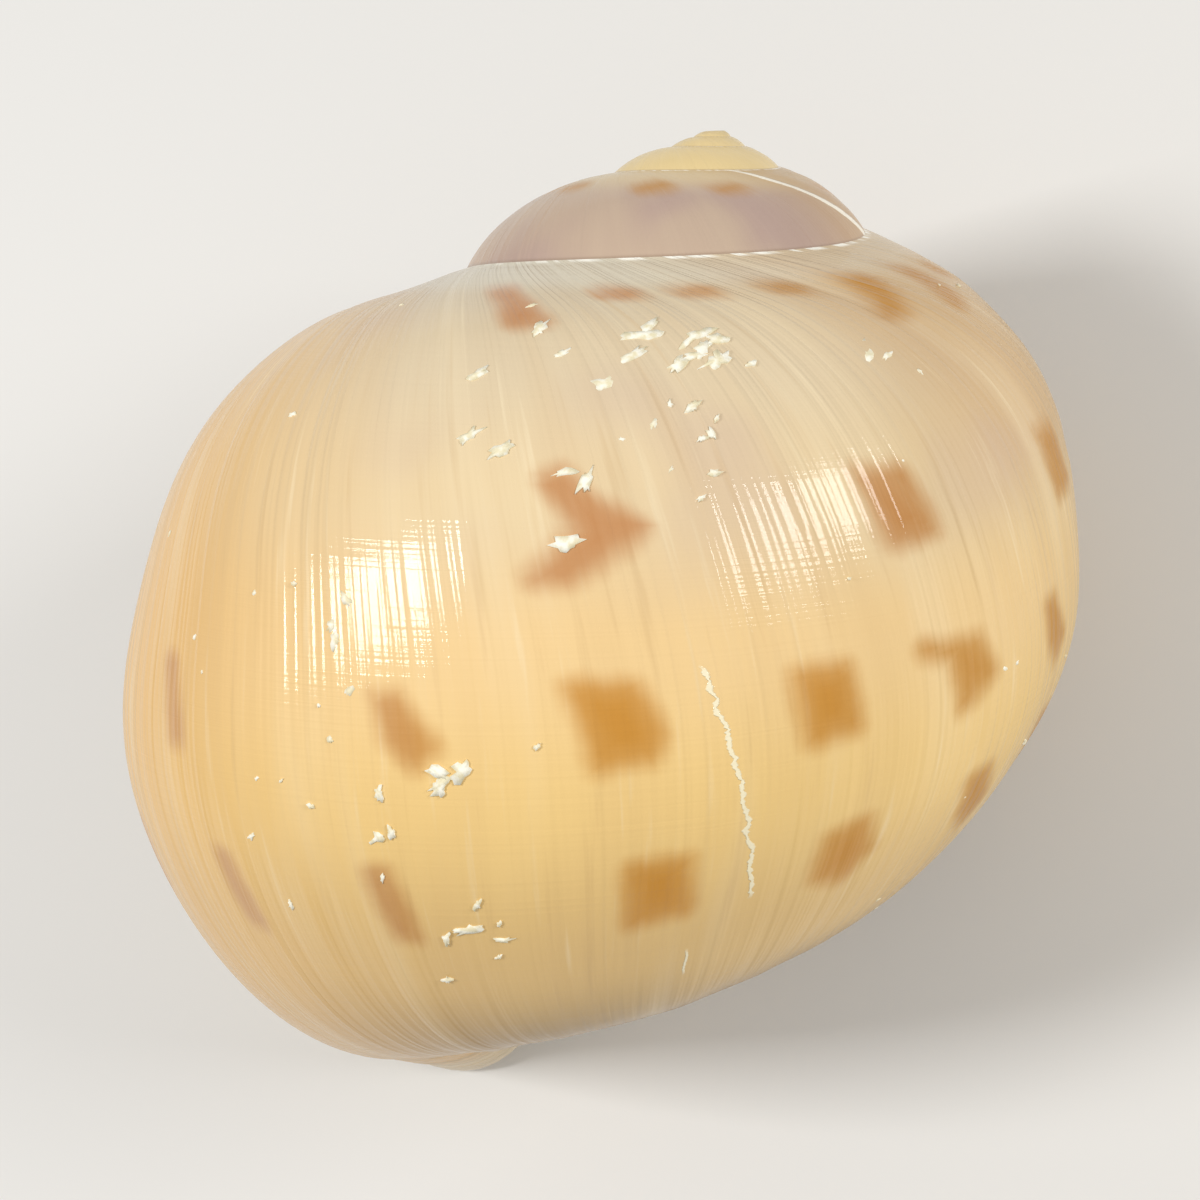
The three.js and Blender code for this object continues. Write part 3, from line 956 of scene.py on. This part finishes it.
def scar(n):
    """The scar of a broken lip, on the whorl before."""
    middle = n.plus(-1.278, n.times(n.math("MAXIMUM", n.plus(n.degrees, 95), 0.0), -0.0011))
    drawn = drawn_line(n, middle, 0.005, 0.009, -110, -40)
    return n.times(drawn, n.fade(n.line, -1.15, -1.16))


def with_lip(n, colour):
    """Olive and fair bands near the lip, a painted reflection along its lower edge, the pale rim,
    and the tan inside.
    """
    band = n.fade(n.line, 0.05, 0.2)
    olive = n.fade(n.streaks(110, 0.15, 2), 0.48, 0.60)
    colour = n.mix(n.times(band, n.times(olive, 0.55)), colour, srgb(176, 144, 88))
    fair = n.fade(n.streaks(80, 0.15, 1), 0.55, 0.70)
    colour = n.mix(n.times(band, n.times(fair, 0.35)), colour, srgb(246, 226, 186))
    # Painted reflection: a whitish-grey band along the lip's edge, stronger on its lower side
    painted_edge_reflection = n.times(n.fade(n.line, 0.19, 0.25), n.fade(n.degrees, 5, 50, 0.15, 0.7))
    colour = n.mix(painted_edge_reflection, colour, srgb(222, 210, 184))
    colour = n.mix(n.fade(n.inside, 0.15, 0.55, 0, 0.75), colour, srgb(238, 228, 206))
    patch = n.fade(n.noise(n.place, 120, 2), 0.35, 0.7)
    inner = n.mix(patch, srgb(214, 176, 132), srgb(236, 214, 184))
    return n.mix(n.fade(n.inside, 0.75, 1.0), colour, inner)


def relief(n, crack_share, scar_share):
    """Heights for the bump, in millimetres. The growth lines break up the highlights."""
    height = n.centred(n.streaks(200, 0.3, 1), 0.080)
    height = n.plus(height, n.centred(n.streaks(420, 0.5, 1), 0.036))
    height = n.plus(height, n.centred(n.streaks(80, 0.3, 1), 0.055))
    spiral = n.noise(n.vector(n.times(n.line, 9), n.times(n.bearing, 60)), 1, 2)
    height = n.plus(height, n.centred(spiral, 0.010))
    outer = n.fade(n.inside, 0.2, 0.0)
    height = n.times(n.times(height, outer), n.fade(n.line, -1.1, -0.7, 0.2, 1.0))
    return n.plus(height, n.plus(n.times(scar_share, 0.05), n.times(crack_share, 0.02)))


def shell_material():
    material = bpy.data.materials.new("glossy_spotted_shell")
    n = ShellNodes(material)
    colour = n.mix(n.fade(n.line, -0.62, -1.0), body_colour_and_shade(n), early_colour(n))
    for layer in (with_clouds, with_growth_lines, with_spots, with_suture):
        colour = layer(n, colour)
    crack_share, scar_share = crack(n), scar(n)
    colour = n.mix(n.times(crack_share, 0.9), colour, srgb(252, 244, 212))
    colour = n.mix(n.times(scar_share, 0.9), colour, srgb(252, 246, 230))
    colour = with_lip(n, colour)

    height = relief(n, crack_share, scar_share)
    bump = n.add("ShaderNodeBump", {"Strength": 1.0, "Distance": MM, "Height": height})
    shader = n.add("ShaderNodeBsdfPrincipled", {
        "Base Color": colour,
        "Roughness": n.fade(n.fine, 0.3, 0.7, 0.42, 0.55),
        "Specular IOR Level": 0.12,
        "Coat Weight": 0.5,
        "Coat Roughness": 0.035,
        "Normal": bump.outputs[0],
        "Coat Normal": bump.outputs[0],
    })
    n.add("ShaderNodeOutputMaterial", {"Surface": shader.outputs[0]})
    return material


def chalk_material():
    material = bpy.data.materials.new("chalky_crust")
    n = Nodes(material)
    place = n.add("ShaderNodeTexCoord").outputs["Object"]
    grain = n.noise(place, 4000, 2)
    colour = n.mix(n.fade(grain, 0.35, 0.65), srgb(236, 226, 190), srgb(255, 252, 236))
    bump = n.add("ShaderNodeBump", {"Strength": 0.5, "Distance": 0.02 * MM, "Height": grain})
    shader = n.add("ShaderNodeBsdfPrincipled", {
        "Base Color": colour,
        "Roughness": 0.6,
        "Normal": bump.outputs[0],
    })
    n.add("ShaderNodeOutputMaterial", {"Surface": shader.outputs[0]})
    return material


# ---------------------------------------------------------------- stage, lights and camera

# The camera looks down at the back of the shell, with the apex towards the top of the picture.
CAMERA_AZIMUTH = math.radians(-17.1)
CAMERA_ELEVATION = math.radians(63.95)
CAMERA_ROLL = math.radians(-60.9)
CAMERA_DISTANCE = 69.7
CAMERA_AIM = (1.76, 1.16, -0.66)  # from the middle of the shell's box
LENS = 58.8
SENSOR_WIDTH = 36
CLIP_START = 0.005  # metres

# Lamps: azimuth, elevation, distance, width, height, power, where from
LAMPS = (
    ("window_left", -165, 55, 260, 62, 78, 0.40),
    ("window_right", 20, 30, 260, 100, 70, 0.32),
)


FLOOR_HALF = 1.5  # metres
FLOOR_COLOUR = srgb(225, 224, 221)
WORLD_COLOUR = (1.0, 0.975, 0.94, 1.0)
WORLD_STRENGTH = 0.42


def direction(azimuth, elevation):
    flat = math.cos(elevation)
    return Vector((flat * math.cos(azimuth), flat * math.sin(azimuth), math.sin(elevation)))


def facing(away, roll):
    """A rotation whose +Z points along a direction, rolled about it from upright."""
    right = Vector((0, 0, 1)).cross(away).normalized()
    up = away.cross(right)
    turned = Matrix((right, up, away)).transposed()
    return turned @ Matrix.Rotation(roll, 3, "Z")


def build_camera(middle):
    away = direction(CAMERA_AZIMUTH, CAMERA_ELEVATION)
    data = bpy.data.cameras.new("camera")
    data.lens = LENS
    data.sensor_width = SENSOR_WIDTH
    data.clip_start = CLIP_START
    camera = bpy.data.objects.new("camera", data)
    aim = middle + Vector(CAMERA_AIM) * MM
    turned = facing(away, CAMERA_ROLL).to_4x4()
    camera.matrix_world = Matrix.Translation(aim + away * CAMERA_DISTANCE * MM) @ turned
    bpy.context.scene.collection.objects.link(camera)
    bpy.context.scene.camera = camera


def build_lamps(middle):
    for name, azimuth, elevation, distance, width, height, power in LAMPS:
        away = direction(math.radians(azimuth), math.radians(elevation))
        data = bpy.data.lights.new(name, "AREA")
        data.shape = "RECTANGLE"
        data.size = width * MM
        data.size_y = height * MM
        data.energy = power
        lamp = bpy.data.objects.new(name, data)
        turned = facing(away, 0).to_4x4()
        lamp.matrix_world = Matrix.Translation(middle + away * distance * MM) @ turned
        bpy.context.scene.collection.objects.link(lamp)


def build_stage():
    material = bpy.data.materials.new("pale_floor")
    n = Nodes(material)
    shader = n.add("ShaderNodeBsdfPrincipled", {"Base Color": FLOOR_COLOUR, "Roughness": 0.8})
    n.add("ShaderNodeOutputMaterial", {"Surface": shader.outputs[0]})
    half = FLOOR_HALF
    mesh = bpy.data.meshes.new("floor")
    corners = [(-half, -half, 0), (half, -half, 0), (half, half, 0), (-half, half, 0)]
    mesh.from_pydata(corners, [], [(0, 1, 2, 3)])
    mesh.materials.append(material)
    floor = bpy.data.objects.new("floor", mesh)
    bpy.context.scene.collection.objects.link(floor)

    world = bpy.data.worlds.new("soft_light")
    world.use_nodes = True
    background = world.node_tree.nodes["Background"]
    background.inputs["Color"].default_value = WORLD_COLOUR
    background.inputs["Strength"].default_value = WORLD_STRENGTH
    bpy.context.scene.world = world


scene = bpy.context.scene
scene.view_settings.view_transform = "Standard"

surface_mesh, move = shell_mesh()
shell = bpy.data.objects.new("shell_visual", surface_mesh)
flecks = bpy.data.objects.new("chalk_flecks", fleck_mesh(move))
for piece, material in ((shell, shell_material()), (flecks, chalk_material())):
    piece.data.materials.append(material)
    scene.collection.objects.link(piece)
    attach(piece, "root")
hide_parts("shell")

middle = (cad_low + cad_high) / 2
build_camera(middle)
build_lamps(middle)
build_stage()
